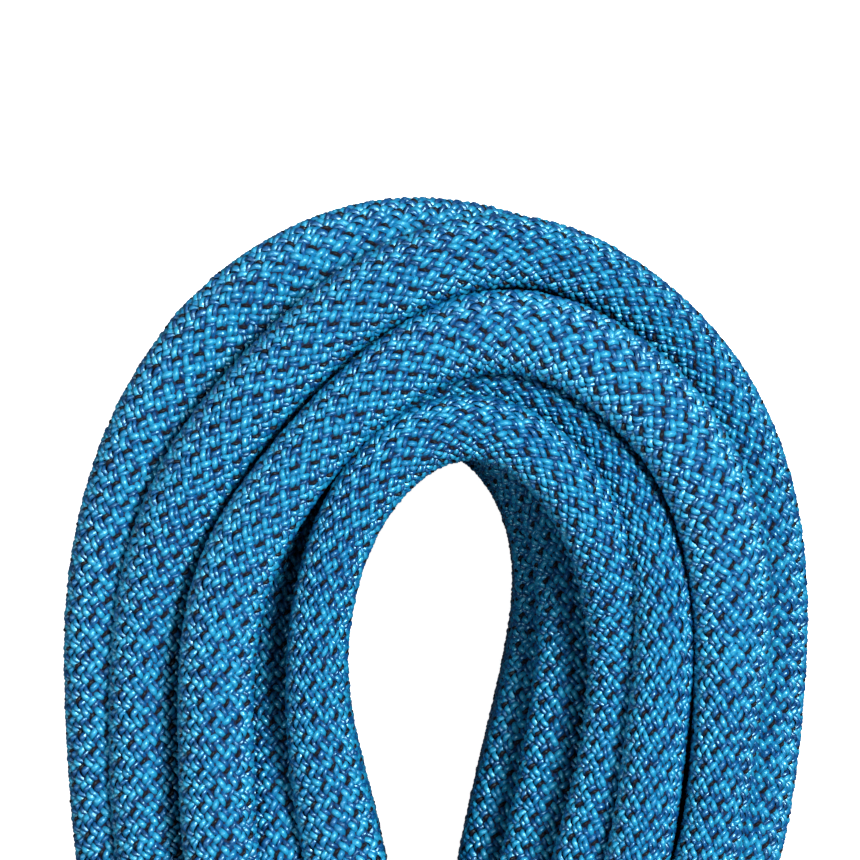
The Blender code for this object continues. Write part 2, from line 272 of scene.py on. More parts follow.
# Each lamp: name, place, what it points at, diameter, watts.
LAMPS = (
    ("key", (0.42, 0.42, 1.08), (0.0, 0.21, 0.05), 0.30, 26.5),
    ("low_left", (-1.0, 0.10, 0.48), (0.0, 0.05, 0.04), 0.5, 2.4),
    ("low_front", (0.10, -1.20, 0.50), (0.0, 0.0, 0.04), 0.5, 2.6),
    ("low_back", (-0.20, 1.40, 0.48), (0.0, 0.15, 0.04), 0.5, 2.0),
    ("fill", (-0.50, 0.00, 1.00), (0.0, 0.21, 0.05), 0.36, 3.5),
)
WHITE = (1.0, 1.0, 1.0, 1.0)
SKY_STRENGTH = 0.08
STAGE_REACH, STAGE_HEIGHT, STAGE_DROP = 12.0, 8.0, 0.0004


def smooth_through(points, step):
    """Rows of numbers, the first three a place, made into evenly spaced rows on a smooth curve."""
    knots = np.array(points, float)
    gaps = np.linalg.norm(np.diff(knots[:, :3], axis=0), axis=1)
    at = np.concatenate(([0.0], np.cumsum(np.maximum(gaps, TINY))))
    slope = np.empty_like(knots)
    chord = np.diff(knots, axis=0) / np.diff(at)[:, None]
    near, far = np.diff(at)[:-1, None], np.diff(at)[1:, None]
    slope[1:-1] = (chord[:-1] * far + chord[1:] * near) / (near + far)
    slope[0], slope[-1] = chord[0], chord[-1]
    fine = np.arange(0.0, at[-1], CURVE_STEP)
    cell = np.clip(np.searchsorted(at, fine, side="right") - 1, 0, len(at) - 2)
    width = (at[cell + 1] - at[cell])[:, None]
    t = ((fine - at[cell]) / width[:, 0])[:, None]
    rows = (
        (2 * t**3 - 3 * t**2 + 1) * knots[cell]
        + (t**3 - 2 * t**2 + t) * width * slope[cell]
        + (3 * t**2 - 2 * t**3) * knots[cell + 1]
        + (t**3 - t**2) * width * slope[cell + 1]
    )
    rows[:, 3:] = knots[cell, 3:] + (knots[cell + 1, 3:] - knots[cell, 3:]) * t
    return evenly(rows, step)


def evenly(rows, step):
    """The same line with rows a step apart."""
    gaps = np.linalg.norm(np.diff(rows[:, :3], axis=0), axis=1)
    along = np.concatenate(([0.0], np.cumsum(gaps)))
    count = int(round(along[-1] / step)) + 1
    wanted = np.linspace(0.0, along[-1], count)
    return np.stack([np.interp(wanted, along, column) for column in rows.T], axis=1)


def slot_place(row, column, side, at_head):
    """Where a slot's run lies: through the waist on one side, at its head end or its lower end."""
    z = WAIST_Z + (WAIST_HALF_HEIGHT - SLOT_INSET_Z) * (1.0 - 2.0 * row / (ROW_COUNT - 1))
    reach = (WAIST_HALF_WIDTH - SLOT_INSET_X) * math.sqrt(1.0 - ((z - WAIST_Z) / WAIST_HALF_HEIGHT) ** 2)
    x = SLOT_FIRST_X + (reach - SLOT_ROOM) * column / (COLUMN_COUNT - 1)
    return (side * x, SLOT_TOP_Y if at_head else SLOT_BOTTOM_Y, z)


def between(inner, outer, share):
    """A run's middle between two edges, at a share of the room that its own width leaves."""
    return inner + ROPE_RADIUS + (outer - inner - ROPE_DIAMETER) * share


def head_rows(name, row, column):
    """A loop's run over the head, from the right leg to the left leg."""
    if name:
        return [(x, y, FRONT_Z - depth, width, 1.0) for x, y, depth, width in HEAD_STRANDS[name]]
    share = (column + 0.5) / COLUMN_COUNT
    right, left = HIDDEN_RIGHT_DEPTHS[row], HIDDEN_LEFT_DEPTHS[row]
    rows = []
    for y, inner, outer in HIDDEN_RIGHT_LEG:
        rows.append((between(inner, outer, share), y, FRONT_Z - right, HIDDEN_WIDTH, 0.0))
    reach = [between(inner, outer, share) for inner, outer in zip(HEAD_INNER, HEAD_OUTER)]
    for degrees in HIDDEN_CROWN_DEGREES:
        angle = math.radians(degrees)
        depth = right + (left - right) * degrees / 180.0
        place = (reach[0] * math.cos(angle), HEAD_CENTRE_Y + reach[1] * math.sin(angle))
        rows.append((*place, FRONT_Z - depth, HIDDEN_WIDTH, 0.0))
    for y, inner, outer in HIDDEN_LEFT_LEG:
        rows.append((-between(inner, outer, share), y, FRONT_Z - left, HIDDEN_WIDTH, 0.0))
    return rows


def lower_rows(row, column):
    """A loop's run down the left leg, round the lower fold and up the right leg."""
    share = column / (COLUMN_COUNT - 1)
    z = TOP_ROW_Z - row * (TOP_ROW_Z - ROPE_RADIUS) / (ROW_COUNT - 1)
    leg = [(between(inner, outer, share), y) for y, inner, outer in LOWER_LEG]
    rows = [(-x, y, z, 1.0, 0.0) for x, y in leg]
    reach = [between(inner, outer, share) for inner, outer in zip(FOLD_INNER, FOLD_OUTER)]
    for degrees in FOLD_DEGREES:
        angle = math.radians(degrees)
        rows.append((-reach[0] * math.cos(angle), FOLD_Y - reach[1] * math.sin(angle), z, FOLD_WIDTH, 0.0))
    return rows + [(x, y, z, 1.0, 0.0) for x, y in reversed(leg)]


def wrap_rows():
    """The turns round the waist, from the back at the lower side to the front at the head side."""
    rows = []
    half_width = WAIST_HALF_WIDTH + WRAP_CLEARANCE + ROPE_RADIUS
    half_height = WAIST_HALF_HEIGHT + WRAP_CLEARANCE + ROPE_RADIUS
    for degrees in np.arange(WRAP_FROM, WRAP_TO + 1.0, WRAP_STEP):
        angle = math.radians(degrees)
        y = WRAP_FIRST_Y + WRAP_PITCH * (degrees - WRAP_FROM) / 360.0
        rows.append((half_width * math.cos(angle), y, WAIST_Z + half_height * math.sin(angle), 1.0, 1.0))
    return rows


def laid_rope():
    """The whole rope's line before it settles: the start end, the loops, the turns, the tucked end.

    Each row is x, y, z, the width as a share of the rope's own, and 1 where the row is held in place.
    """
    rows = [(*place, 1.0, 1.0 if place[1] < FIXED_BELOW_Y else 0.0) for place in START_ROUTE]
    for number, (name, row, column) in enumerate(LAID):
        rows += head_rows(name, row, column)
        rows.append((*slot_place(row, column, -1, True), HIDDEN_WIDTH, 0.0))
        rows.append((*slot_place(row, column, -1, False), HIDDEN_WIDTH, 0.0))
        rows += lower_rows(row, column)
        if number < len(LAID) - 1:
            rows.append((*slot_place(row, column, 1, False), HIDDEN_WIDTH, 0.0))
            rows.append((*slot_place(*LAID[number + 1][1:], 1, True), HIDDEN_WIDTH, 0.0))
    rows = rows[:-2] + [(*place, 1.0, 1.0) for place in WRAP_START]
    rows += wrap_rows()
    rows += [(*place, 1.0, 1.0) for place in TUCKED_ROUTE]
    return smooth_through(rows, SAMPLE)


def near_pairs(places, reach):
    """Index pairs of places that are near each other and not on the same short stretch."""
    tree = KDTree(len(places))
    for i, place in enumerate(places):
        tree.insert(place, i)
    tree.balance()
    low, high = [], []
    for i, place in enumerate(places):
        for _, j, _ in tree.find_range(place, reach):
            if j > i + SAME_STRETCH:
                low.append(i)
                high.append(j)
    return np.array(low), np.array(high)


def directions(places):
    """The unit direction of the line at each of its places."""
    ahead = np.gradient(places, axis=0)
    return ahead / np.linalg.norm(ahead, axis=1)[:, None]


def along_mean(values, reach):
    """Each row's mean with its neighbours along the rope."""
    size = 2 * reach + 1
    before, after = np.repeat(values[:1], reach, axis=0), np.repeat(values[-1:], reach, axis=0)
    nothing = np.zeros((1, values.shape[1]))
    total = np.cumsum(np.concatenate((nothing, before, values, after)), axis=0)
    return (total[size:] - total[:-size]) / size


def held_in(places):
    """Places moved back inside the hank: over the floor, inside the waist turns, clear of the hole."""
    x, y, z = places.T.copy()
    z = np.maximum(z, ROPE_RADIUS)
    away = np.maximum(0.0, np.maximum(WAIST_LOW - y, y - WAIST_HIGH))
    spare = WAIST_FLARE * away - WAIST_SPARE
    round_waist = np.hypot(x / (WAIST_HALF_WIDTH + spare), (z - WAIST_Z) / (WAIST_HALF_HEIGHT + spare))
    tight = (round_waist > 1.0) & (away < WAIST_FAR)
    shrink = np.where(tight, 1.0 / np.maximum(round_waist, TINY), 1.0)
    x, z = x * shrink, WAIST_Z + (z - WAIST_Z) * shrink
    head = y > WAIST_HIGH
    out_x, out_y = HEAD_OUTER[0] - HIDDEN_INSET, HEAD_OUTER[1] - HIDDEN_INSET
    crown = y > HEAD_CENTRE_Y
    ring = np.hypot(x / out_x, (y - HEAD_CENTRE_Y) / out_y)
    over = crown & (ring > 1.0)
    scale = np.where(over, 1.0 / np.maximum(ring, TINY), 1.0)
    x, y = x * scale, np.where(crown, HEAD_CENTRE_Y + (y - HEAD_CENTRE_Y) * scale, y)
    heights, widths = zip(*HEAD_SIDE, (HEAD_CENTRE_Y, out_x))
    limit = np.interp(y, heights, widths)
    x = np.where(head & ~crown, np.clip(x, -limit, limit), x)
    edge = np.array(HOLE_EDGE)
    left = np.interp(y, edge[:, 0], edge[:, 1]) - ROPE_RADIUS
    right = np.interp(y, edge[:, 0], edge[:, 2]) + ROPE_RADIUS
    beside = head & (y < HOLE_SIDE_TOP)
    x = np.where(beside & (x < 0), np.minimum(x, left), x)
    x = np.where(beside & (x >= 0), np.maximum(x, right), x)
    arch = np.hypot(x / ARCH_REACH[0], (y - HEAD_CENTRE_Y) / ARCH_REACH[1])
    under = (y > ARCH_FROM_Y) & (arch < 1.0)
    grow = np.where(under, 1.0 / np.maximum(arch, TINY), 1.0)
    x, y = x * grow, np.where(under, HEAD_CENTRE_Y + (y - HEAD_CENTRE_Y) * grow, y)
    lower = y < WAIST_LOW
    x = np.where(lower, np.clip(x, -LOWER_OUTER + ROPE_RADIUS, LOWER_OUTER - ROPE_RADIUS), x)
    return np.stack((x, np.maximum(y, LOWER_END_Y + ROPE_RADIUS), z), axis=1)


def settled(rope):
    """Runs of rope that lie in each other are eased apart, and the ones that show stay where they are."""
    start = rope[:, :3].copy()
    free = 1.0 - rope[:, 4:5]
    free = np.minimum(free, along_mean(free, FREE_BLEND))
    moved = np.zeros_like(start)
    for turn in range(SETTLE_TURNS):
        places = start + moved
        if turn % SETTLE_LOOK_AGAIN == 0:
            low, high = near_pairs(places, SETTLE_REACH)
        ahead = directions(places)
        gap = places[high] - places[low]
        distance = np.linalg.norm(gap, axis=1)
        press = np.maximum(0.0, SETTLE_SPACING - distance) / np.maximum(distance, SETTLE_NEAREST)
        push = gap * (SETTLE_PUSH * press)[:, None]
        force = np.zeros_like(places)
        for axis in range(3):
            force[:, axis] += np.bincount(high, push[:, axis], len(places))
            force[:, axis] -= np.bincount(low, push[:, axis], len(places))
        force -= ahead * np.sum(force * ahead, axis=1)[:, None]
        moved = along_mean(moved + force * free, MOVE_BLEND) * free
        moved = (held_in(start + moved) - start) * free
    places = start + moved
    for _ in range(SMOOTHINGS):
        places[1:-1] = 0.25 * places[:-2] + 0.5 * places[1:-1] + 0.25 * places[2:]
    return np.concatenate((places, rope[:, 3:]), axis=1)


class Line:
    """The settled rope as arrays along its length, with a place for every point of its surface."""

    def __init__(self, rope):
        fine = smooth_through(rope, FINE)
        self.places = fine[:, :3]
        self.step = float(np.mean(np.linalg.norm(np.diff(self.places, axis=0), axis=1)))
        self.length = self.step * (len(fine) - 1)
        self.ahead = directions(self.places)
        share = along_mean(fine[:, 3:4], WIDTH_BLEND)
        self.narrow = share - 1.0
        self.tall = np.sqrt(np.maximum(0.5, 2.0 - share**2)) - 1.0
        self.side = self.carried_sides()
        self.over = np.cross(self.ahead, self.side)
        level = np.cross((0.0, 0.0, 1.0), self.ahead)
        size = np.linalg.norm(level, axis=1)[:, None]
        self.level = np.where(size > STEEP, level / np.maximum(size, TINY), self.side)
        self.rise = np.cross(self.ahead, self.level)

    def carried_sides(self):
        """A direction across the rope at each row, carried along it without twist."""
        sides = np.empty_like(self.ahead)
        side = Vector(np.cross(self.ahead[0], (0.0, 0.0, 1.0))).normalized()
        for i, ahead in enumerate(self.ahead.tolist()):
            ahead = Vector(ahead)
            side = (side - ahead * side.dot(ahead)).normalized()
            sides[i] = side
        return sides

    def at(self, values, along):
        """The value of one of the line's arrays at any distances along it."""
        cell = np.clip((along / self.step).astype(int), 0, len(values) - 2)
        share = (along / self.step - cell)[..., None]
        return values[cell] * (1.0 - share) + values[cell + 1] * share

    def surface(self, along, angle, radius):
        """Points on the rope's surface, at a distance along it, an angle round it and a radius."""
        cosine, sine = np.cos(angle)[..., None], np.sin(angle)[..., None]
        out = self.at(self.side, along) * cosine + self.at(self.over, along) * sine
        level, rise = self.at(self.level, along), self.at(self.rise, along)
        out = (
            out
            + level * np.sum(out * level, axis=-1, keepdims=True) * self.at(self.narrow, along)
            + rise * np.sum(out * rise, axis=-1, keepdims=True) * self.at(self.tall, along)
        )
        return self.at(self.places, along) + out * np.asarray(radius)[..., None]


# ---------------------------------------------------------------- meshes
def mesh_from(name, points, faces, finish):
    """A mesh object in metres from arrays of points in millimetres and of four-cornered faces."""
    mesh = bpy.data.meshes.new(name)
    mesh.vertices.add(len(points))
    mesh.vertices.foreach_set("co", (np.asarray(points, np.float32) * MM).ravel())
    mesh.loops.add(faces.size)
    mesh.loops.foreach_set("vertex_index", faces.astype(np.int32).ravel())
    mesh.polygons.add(len(faces))
    mesh.polygons.foreach_set("loop_start", np.arange(0, faces.size, faces.shape[1], dtype=np.int32))
    mesh.polygons.foreach_set("use_smooth", np.full(len(faces), True))
    mesh.update()
    mesh.validate()
    mesh.materials.append(finish)
    return placed(name, mesh)


def placed(name, data):
    """A new object with this data, linked into the scene."""
    made = bpy.data.objects.new(name, data)
    bpy.context.scene.collection.objects.link(made)
    return made


def grid_faces(count, rows, columns, wrap=False):
    """Four-cornered faces of count equal grids of points, each rows by columns."""
    across = np.arange(columns if wrap else columns - 1)
    row, column = np.meshgrid(np.arange(rows - 1), across, indexing="ij")
    here = row * columns + column
    beside = row * columns + (column + 1) % columns
    cell = np.stack((here, beside, beside + columns, here + columns), axis=-1).reshape(-1, 4)
    return (np.arange(count)[:, None, None] * (rows * columns) + cell[None]).reshape(-1, 4)


def closing_faces(rows, sides):
    """Faces from a wrapped grid's last row back to its first."""
    first = np.arange(sides)
    beside = (first + 1) % sides
    last = (rows - 1) * sides
    return np.stack((last + first, last + beside, beside, first), axis=1)


def ring_points(line, along, reach, sides):
    """Rings of points round the rope's line, one ring for each distance along it and its radius."""
    shape = (len(along), sides)
    along = np.broadcast_to(along[:, None], shape)
    angle = np.broadcast_to(np.arange(sides) * TAU / sides, shape)
    return line.surface(along, angle, np.broadcast_to(reach[:, None], shape)).reshape(-1, 3)


def tube_mesh(name, line, first, last, finish):
    """A tube on the rope's line from first to last, drawn in to a point's width at both ends."""
    count = int(round((last - first) / TUBE_STEP)) + 1
    middle = np.linspace(first, last, count)
    along = np.concatenate((middle[:1], middle, middle[-1:]))
    reach = np.concatenate(([POINT_RADIUS], np.full(count, BASE_RADIUS), [POINT_RADIUS]))
    points = ring_points(line, along, reach, TUBE_SIDES)
    made = mesh_from(name, points, grid_faces(1, count + 2, TUBE_SIDES, wrap=True), finish)
    return made, (line.at(line.places, middle) * MM).tolist()


def jackets_mesh(name, line, stretches, finish):
    """The braid's hollow ground over the free ends' last stretches, open round the core, with cut ends; it
    carries the painted shade of the gaps between the yarns.
    """
    rows = 2 * JACKET_ROWS
    reach = np.repeat((BASE_RADIUS, JACKET_INNER), JACKET_ROWS)
    grid = grid_faces(1, rows, JACKET_SIDES, wrap=True)
    shell = np.concatenate((grid, closing_faces(rows, JACKET_SIDES)))
    points, faces = [], []
    for number, (first, last) in enumerate(stretches):
        outward = np.linspace(first, last, JACKET_ROWS)
        along = np.concatenate((outward, outward[::-1]))
        points.append(ring_points(line, along, reach, JACKET_SIDES))
        faces.append(shell + number * rows * JACKET_SIDES)
    return mesh_from(name, np.concatenate(points), np.concatenate(faces), finish)


# ---------------------------------------------------------------- what shows
def patch_looks(line):
    """A look for each patch of the surface: buried, seen from somewhere round it, or seen by the camera."""
    count = int(line.length / PATCH_STEP)
    along = (np.arange(count) + 0.5) * PATCH_STEP
    skin = ring_points(line, along, np.full(count, BASE_RADIUS), PATCH_SIDES)
    tree = BVHTree.FromPolygons(skin.tolist(), grid_faces(1, count, PATCH_SIDES, wrap=True).tolist())
    points = ring_points(line, along, np.full(count, ROPE_RADIUS + PATCH_LIFT), PATCH_SIDES)
    out = points - np.repeat(line.at(line.places, along), PATCH_SIDES, axis=0)
    out /= np.linalg.norm(out, axis=1)[:, None]
    ahead = np.repeat(line.at(line.ahead, along), PATCH_SIDES, axis=0)
    across = np.cross(out, ahead)
    looks = np.full(len(points), BURIED)
    for tilt in PATCH_TILTS:
        rays = out * tilt[0] + ahead * tilt[1] + across * tilt[2]
        for i in np.flatnonzero(looks == BURIED):
            if tree.ray_cast(points[i].tolist(), rays[i].tolist(), OPEN_DISTANCE)[0] is None:
                looks[i] = ROUND_LOOK
    toward = np.array((*FRAME_CENTRE, CAMERA_HEIGHT)) - points
    for i in np.flatnonzero(in_frame(points) & facing_camera(out, toward)):
        if tree.ray_cast(points[i].tolist(), toward[i].tolist(), CAMERA_RAY)[0] is None:
            looks[i] = FRONT_LOOK
    return spread_out(looks.reshape(count, PATCH_SIDES))


def in_frame(points):
    """Which points lie inside the camera's frame or just round it."""
    low = np.subtract(FRAME_CENTRE, FRAME_REACH)
    high = np.add(FRAME_CENTRE, FRAME_REACH)
    return np.all((points[:, :2] > low) & (points[:, :2] < high), axis=1)


def facing_camera(out, toward):
    """Which patches face the camera, or turn only a little away from it."""
    return np.sum(toward * out, axis=1) > FACING_LEAST * np.linalg.norm(toward, axis=1)


def spread_out(looks):
    """The patches round each one that the camera sees are given its look too."""
    seen = np.where(looks == FRONT_LOOK, FRONT_LOOK, BURIED)
    wide = np.maximum(seen, np.maximum(np.roll(seen, 1, axis=1), np.roll(seen, -1, axis=1)))
    spread = np.maximum(looks, wide)
    spread[1:] = np.maximum(spread[1:], wide[:-1])
    spread[:-1] = np.maximum(spread[:-1], wide[1:])
    return spread


# ---------------------------------------------------------------- yarns
def crossings_on(line, looks):
    """Every place where a carrier of the braid lies on top: along, angle, lean, row, number, look."""
    rows = int((line.length - 2 * BRAID_MARGIN) / BRAID_PITCH)
    row, number = np.meshgrid(np.arange(rows), np.arange(CARRIERS), indexing="ij")
    row, number = row.ravel(), number.ravel()
    made = []
    for lean, shift in ((1.0, 0.0), (-1.0, 0.5)):
        along = BRAID_MARGIN + (row + shift) * BRAID_PITCH
        angle = (number + shift) * TAU / CARRIERS
        stretch = np.clip((along / PATCH_STEP).astype(int), 0, len(looks) - 1)
        side = np.round(angle / TAU * PATCH_SIDES).astype(int) % PATCH_SIDES
        look = looks[stretch, side]
        made.append(np.stack((along, angle, np.full(len(row), lean), row, number, look), axis=1))
    return np.concatenate(made)


def yarn_tones(crossings, random):
    """The tones of each crossing's upper and lower yarn. Every second carrier of one lean has a tracer."""
    lean, row, number = crossings[:, 2], crossings[:, 3], crossings[:, 4]
    marked = (lean > 0) & ((number - row) % 2 == 0)
    upper = random.choice(UPPER_TONES, len(crossings))
    lower = random.choice(LOWER_TONES, len(crossings))
    partner = random.choice(PARTNER_TONES, len(crossings))
    return np.where(marked, TRACER, upper), np.where(marked, partner, lower)


def yarn_points(line, crossings, shapes, grid, random):
    """Points of one yarn on top of each crossing, a short bowed half round that dives at both ends."""
    count = len(crossings)
    rows, columns = grid
    offset, yarn_width, size = (column[:, None, None] for column in shapes.T)
    t = np.linspace(-1.0, 1.0, rows)[None, :, None]
    across = np.linspace(-1.0, 1.0, columns)[None, None, :]
    start, turn, lean = (column[:, None, None] for column in crossings[:, :3].T)
    jitter = random.normal(0.0, 1.0, (5, count, 1, 1))
    length = YARN_HALF_LENGTH * size * (1.0 + YARN_SPREAD[0] * jitter[0])
    width = yarn_width * (1.0 + YARN_SPREAD[1] * jitter[1]) * (1.0 - YARN_TAPER * t**2)
    shift = YARN_SPREAD[2] * jitter[2]
    lift = YARN_SPREAD[3] * jitter[3]
    side = np.sin(across * YARN_SIDE_ANGLE) / math.sin(YARN_SIDE_ANGLE)
    step_along = t * length + shift
    step_across = offset + YARN_TILT * jitter[4] * t + 0.5 * width * side
    height = YARN_HEIGHT * np.cos(across * YARN_SIDE_ANGLE)
    dive = YARN_DIVE * (1.0 - np.cos(0.5 * math.pi * t)) ** YARN_DIVE_CURVE
    radius = ROPE_RADIUS - YARN_HEIGHT + height + lift - dive
    cosine, sine = math.cos(BRAID_ANGLE), math.sin(BRAID_ANGLE)
    along = start + step_along * cosine - lean * step_across * sine
    along = np.clip(along, 0.0, line.length - POINT_RADIUS)
    angle = turn + (lean * step_along * sine + step_across * cosine) / ROPE_RADIUS
    return line.surface(along, angle, np.broadcast_to(radius, along.shape)).reshape(count, -1, 3)


def yarns_by_tone(line, crossings, tones, grid, random):
    """Points of the upper and lower yarns at some crossings, as a list of arrays for each tone."""
    upper, lower = tones
    marked = (upper == TRACER)[:, None]
    groups = {tone: [] for tone in TONES}
    for plain, by_tracer, layer in ((UPPER_YARN, TRACER_YARN, upper), (LOWER_YARN, PARTNER_YARN, lower)):
        points = yarn_points(line, crossings, np.where(marked, by_tracer, plain), grid, random)
        for number, tone in enumerate(TONES):
            groups[tone].append(points[layer == number])
    return groups


def yarn_pieces(label, groups, grid, finishes):
    """Mesh pieces of the yarns with one look, each tone in as few pieces as its triangles allow."""
    rows, columns = grid
    most = PIECE_TRIANGLES // (2 * (rows - 1) * (columns - 1))
    made = []
    for tone, layers in groups.items():
        points = np.concatenate(layers)
        for number, batch in enumerate(np.array_split(points, -(-len(points) // most))):
            name = f"yarns_{tone}_{label}_{number + 1}"
            faces = grid_faces(len(batch), rows, columns)
            made.append(mesh_from(name, batch.reshape(-1, 3), faces, finishes[tone]))
    return made


def dress(line, looks, camera_only):
    """The sheath's yarns, fine where the camera sees them and plainer round the rest."""
    random = np.random.default_rng(SEED)
    crossings = crossings_on(line, looks)
    crossings = crossings[crossings[:, 5] > BURIED]
    upper, lower = yarn_tones(crossings, random)
    finishes = {tone: yarn_finish(tone) for tone in TONES}
    made = []
    for look, label, grid in YARN_LOOKS:
        if camera_only and look == ROUND_LOOK:
            continue
        here = crossings[:, 5] == look
        groups = yarns_by_tone(line, crossings[here], (upper[here], lower[here]), grid, random)
        made += yarn_pieces(label, groups, grid, finishes)
    return made


# ---------------------------------------------------------------- finishes
class Paint:
    """A material whose nodes are linked a line at a time, all from one set of object coordinates."""

    def __init__(self, name, colour, shine=0.5, tint=(1.0, 1.0, 1.0)):
        self.material = bpy.data.materials.new(name)
        self.material.use_nodes = True
        self.tree = self.material.node_tree
        self.shader = self.tree.nodes["Principled BSDF"]
        self.shader.inputs["Base Color"].default_value = (*colour, 1.0)
        self.shader.inputs["Specular IOR Level"].default_value = shine
        self.shader.inputs["Specular Tint"].default_value = (*tint, 1.0)
        self.place = self.tree.nodes.new("ShaderNodeTexCoord").outputs["Object"]

    def link(self, source, target):
        """Join an output to an input."""
        self.tree.links.new(source, target)

    def noise(self, per_mm, detail=3.0):
        """Noise with its pattern repeating so many times a millimetre."""
        node = self.tree.nodes.new("ShaderNodeTexNoise")
        node.inputs["Scale"].default_value = per_mm / MM
        node.inputs["Detail"].default_value = detail
        self.link(self.place, node.inputs["Vector"])
        return node.outputs["Fac"]

    def bands(self, per_mm, turn, distortion=0.0):
        """Straight bands across the x axis turned about z, so many a millimetre."""
        mapping = self.tree.nodes.new("ShaderNodeMapping")
        mapping.inputs["Rotation"].default_value = (0.0, 0.0, turn)
        self.link(self.place, mapping.inputs["Vector"])
        node = self.tree.nodes.new("ShaderNodeTexWave")
        node.inputs["Scale"].default_value = per_mm / MM / WAVE_BANDS
        node.inputs["Distortion"].default_value = distortion
        self.link(mapping.outputs["Vector"], node.inputs["Vector"])
        return node.outputs["Fac"]

    def larger(self, one, other):
        """The larger of two patterns at each place."""
        node = self.tree.nodes.new("ShaderNodeMath")
        node.operation = "MAXIMUM"
        self.link(one, node.inputs[0])
        self.link(other, node.inputs[1])
        return node.outputs[0]

    def roughness(self, value, low, high):
        """Roughness from low to high over the middle half of a pattern's values."""
        node = self.tree.nodes.new("ShaderNodeMapRange")
        node.inputs["From Min"].default_value = 0.25
        node.inputs["From Max"].default_value = 0.75
        node.inputs["To Min"].default_value = low
        node.inputs["To Max"].default_value = high
        self.link(value, node.inputs["Value"])
        self.link(node.outputs["Result"], self.shader.inputs["Roughness"])

    def bump(self, value, height_mm, strength=1.0):
        """Relief from a pattern, its height in millimetres."""
        node = self.tree.nodes.new("ShaderNodeBump")
        node.inputs["Strength"].default_value = strength
        node.inputs["Distance"].default_value = height_mm * MM
        self.link(value, node.inputs["Height"])
        self.link(node.outputs["Normal"], self.shader.inputs["Normal"])

    def colours(self, value, *stops):
        """Base colour from a pattern, through stops of position and colour."""
        ramp = self.tree.nodes.new("ShaderNodeValToRGB")
        elements = ramp.color_ramp.elements
        for number, (position, colour) in enumerate(stops):
            element = elements[number] if number < 2 else elements.new(position)
            element.position = position
            element.color = (*colour, 1.0)
        self.link(value, ramp.inputs["Fac"])
        self.link(ramp.outputs["Color"], self.shader.inputs["Base Color"])


def yarn_finish(tone):
    """Polyamide yarn: a tight bundle of fine filaments with a soft gleam, or a dull black tracer."""
    dull = tone == "tracer"
    paint = Paint(f"yarn_{tone}", TONES[tone], TRACER_SHINE if dull else YARN_SHINE, GLEAM_TINT)
    filaments = paint.noise(per_mm=5.0, detail=2.0)
    paint.roughness(filaments, low=0.26, high=0.42)
    paint.bump(filaments, height_mm=0.05)
    paint.shader.inputs["IOR"].default_value = TRACER_IOR if dull else YARN_IOR
    return paint.material


def gap_shade_finish():
    """The ground between the yarns, painted near-black navy as the shade in the gaps between them."""
    paint = Paint("sheath_gaps_painted_shade", GAP_SHADE_NAVY, shine=0.3)
    grain = paint.noise(per_mm=3.0)
    paint.roughness(grain, low=0.7, high=0.95)
    paint.bump(grain, height_mm=0.05)
    return paint.material


def core_finish():
    """White twisted core yarn: fine diagonal plies with a little shade between them."""
    paint = Paint("core_twisted_white", (0.8, 0.8, 0.78))
    plies = paint.bands(per_mm=1.6, turn=0.9, distortion=1.5)
    paint.colours(
        plies,
        (0.0, (0.52, 0.52, 0.50)),
        (0.35, (0.82, 0.82, 0.79)),
        (1.0, (0.88, 0.88, 0.86)),
    )
    paint.roughness(paint.noise(per_mm=2.0), low=0.45, high=0.7)
    paint.bump(plies, height_mm=0.08)
    return paint.material


def tape_finish():
    """Thin red marker tape with fine lengthwise ribs, its red painted darker in the rib valleys and lighter
    on their crests as shade.
    """
    paint = Paint("marker_tape_red", (0.5, 0.02, 0.02))
    ribs = paint.bands(per_mm=6.0, turn=0.0)
    # The red follows the ribs' height: painted shade in the valleys, lighter red on the crests.
    paint.colours(ribs, (0.0, (0.36, 0.010, 0.012)), (1.0, (0.58, 0.030, 0.026)))
    paint.roughness(paint.noise(per_mm=2.0), low=0.35, high=0.6)
    paint.bump(ribs, height_mm=0.02)
    return paint.material


def tip_finish():
    """Sheath and core melted together: dark glossy blue with pale streaks, lumps and pits."""
    paint = Paint("fused_tip_blue", (0.01, 0.05, 0.11))
    lumps = paint.noise(per_mm=0.55, detail=4.0)
    paint.colours(
        lumps,
        (0.30, (0.003, 0.012, 0.030)),
        (0.55, (0.008, 0.060, 0.130)),
        (0.75, (0.040, 0.130, 0.210)),
    )
    paint.roughness(paint.noise(per_mm=1.5), low=0.15, high=0.5)
    paint.bump(lumps, height_mm=0.35)
    return paint.material


def sleeve_finish():
    """Black heat-shrink sleeve, drawn down until the braid under it shows as low diagonal ribs."""
    paint = Paint("shrink_sleeve_black", (0.012, 0.013, 0.015))
    one = paint.bands(per_mm=0.7, turn=RIB_SLANT)
    other = paint.bands(per_mm=0.7, turn=-RIB_SLANT)
    scuffs = paint.noise(per_mm=1.2, detail=6.0)
    paint.colours(
        scuffs,
        (0.35, (0.009, 0.010, 0.012)),
        (0.62, (0.016, 0.017, 0.019)),
        (0.78, (0.045, 0.046, 0.048)),
    )
    paint.roughness(scuffs, low=0.34, high=0.62)
    paint.bump(paint.larger(one, other), height_mm=0.12, strength=0.8)
    return paint.material


def finish_kept_nodes(nodes):
    """The parts that stay as the CAD has them get the material that each kind really has."""
    kinds = {
        "core_strand": core_finish(),
        "marker_tape": tape_finish(),
        "fused_tip": tip_finish(),
        "shrink_sleeve": sleeve_finish(),
    }
    kept = {}
    for name, node in nodes.items():
        for kind, material in kinds.items():
            if kind in name:
                for slot in node.material_slots:
                    slot.material = material
                kept[name] = node
    return kept


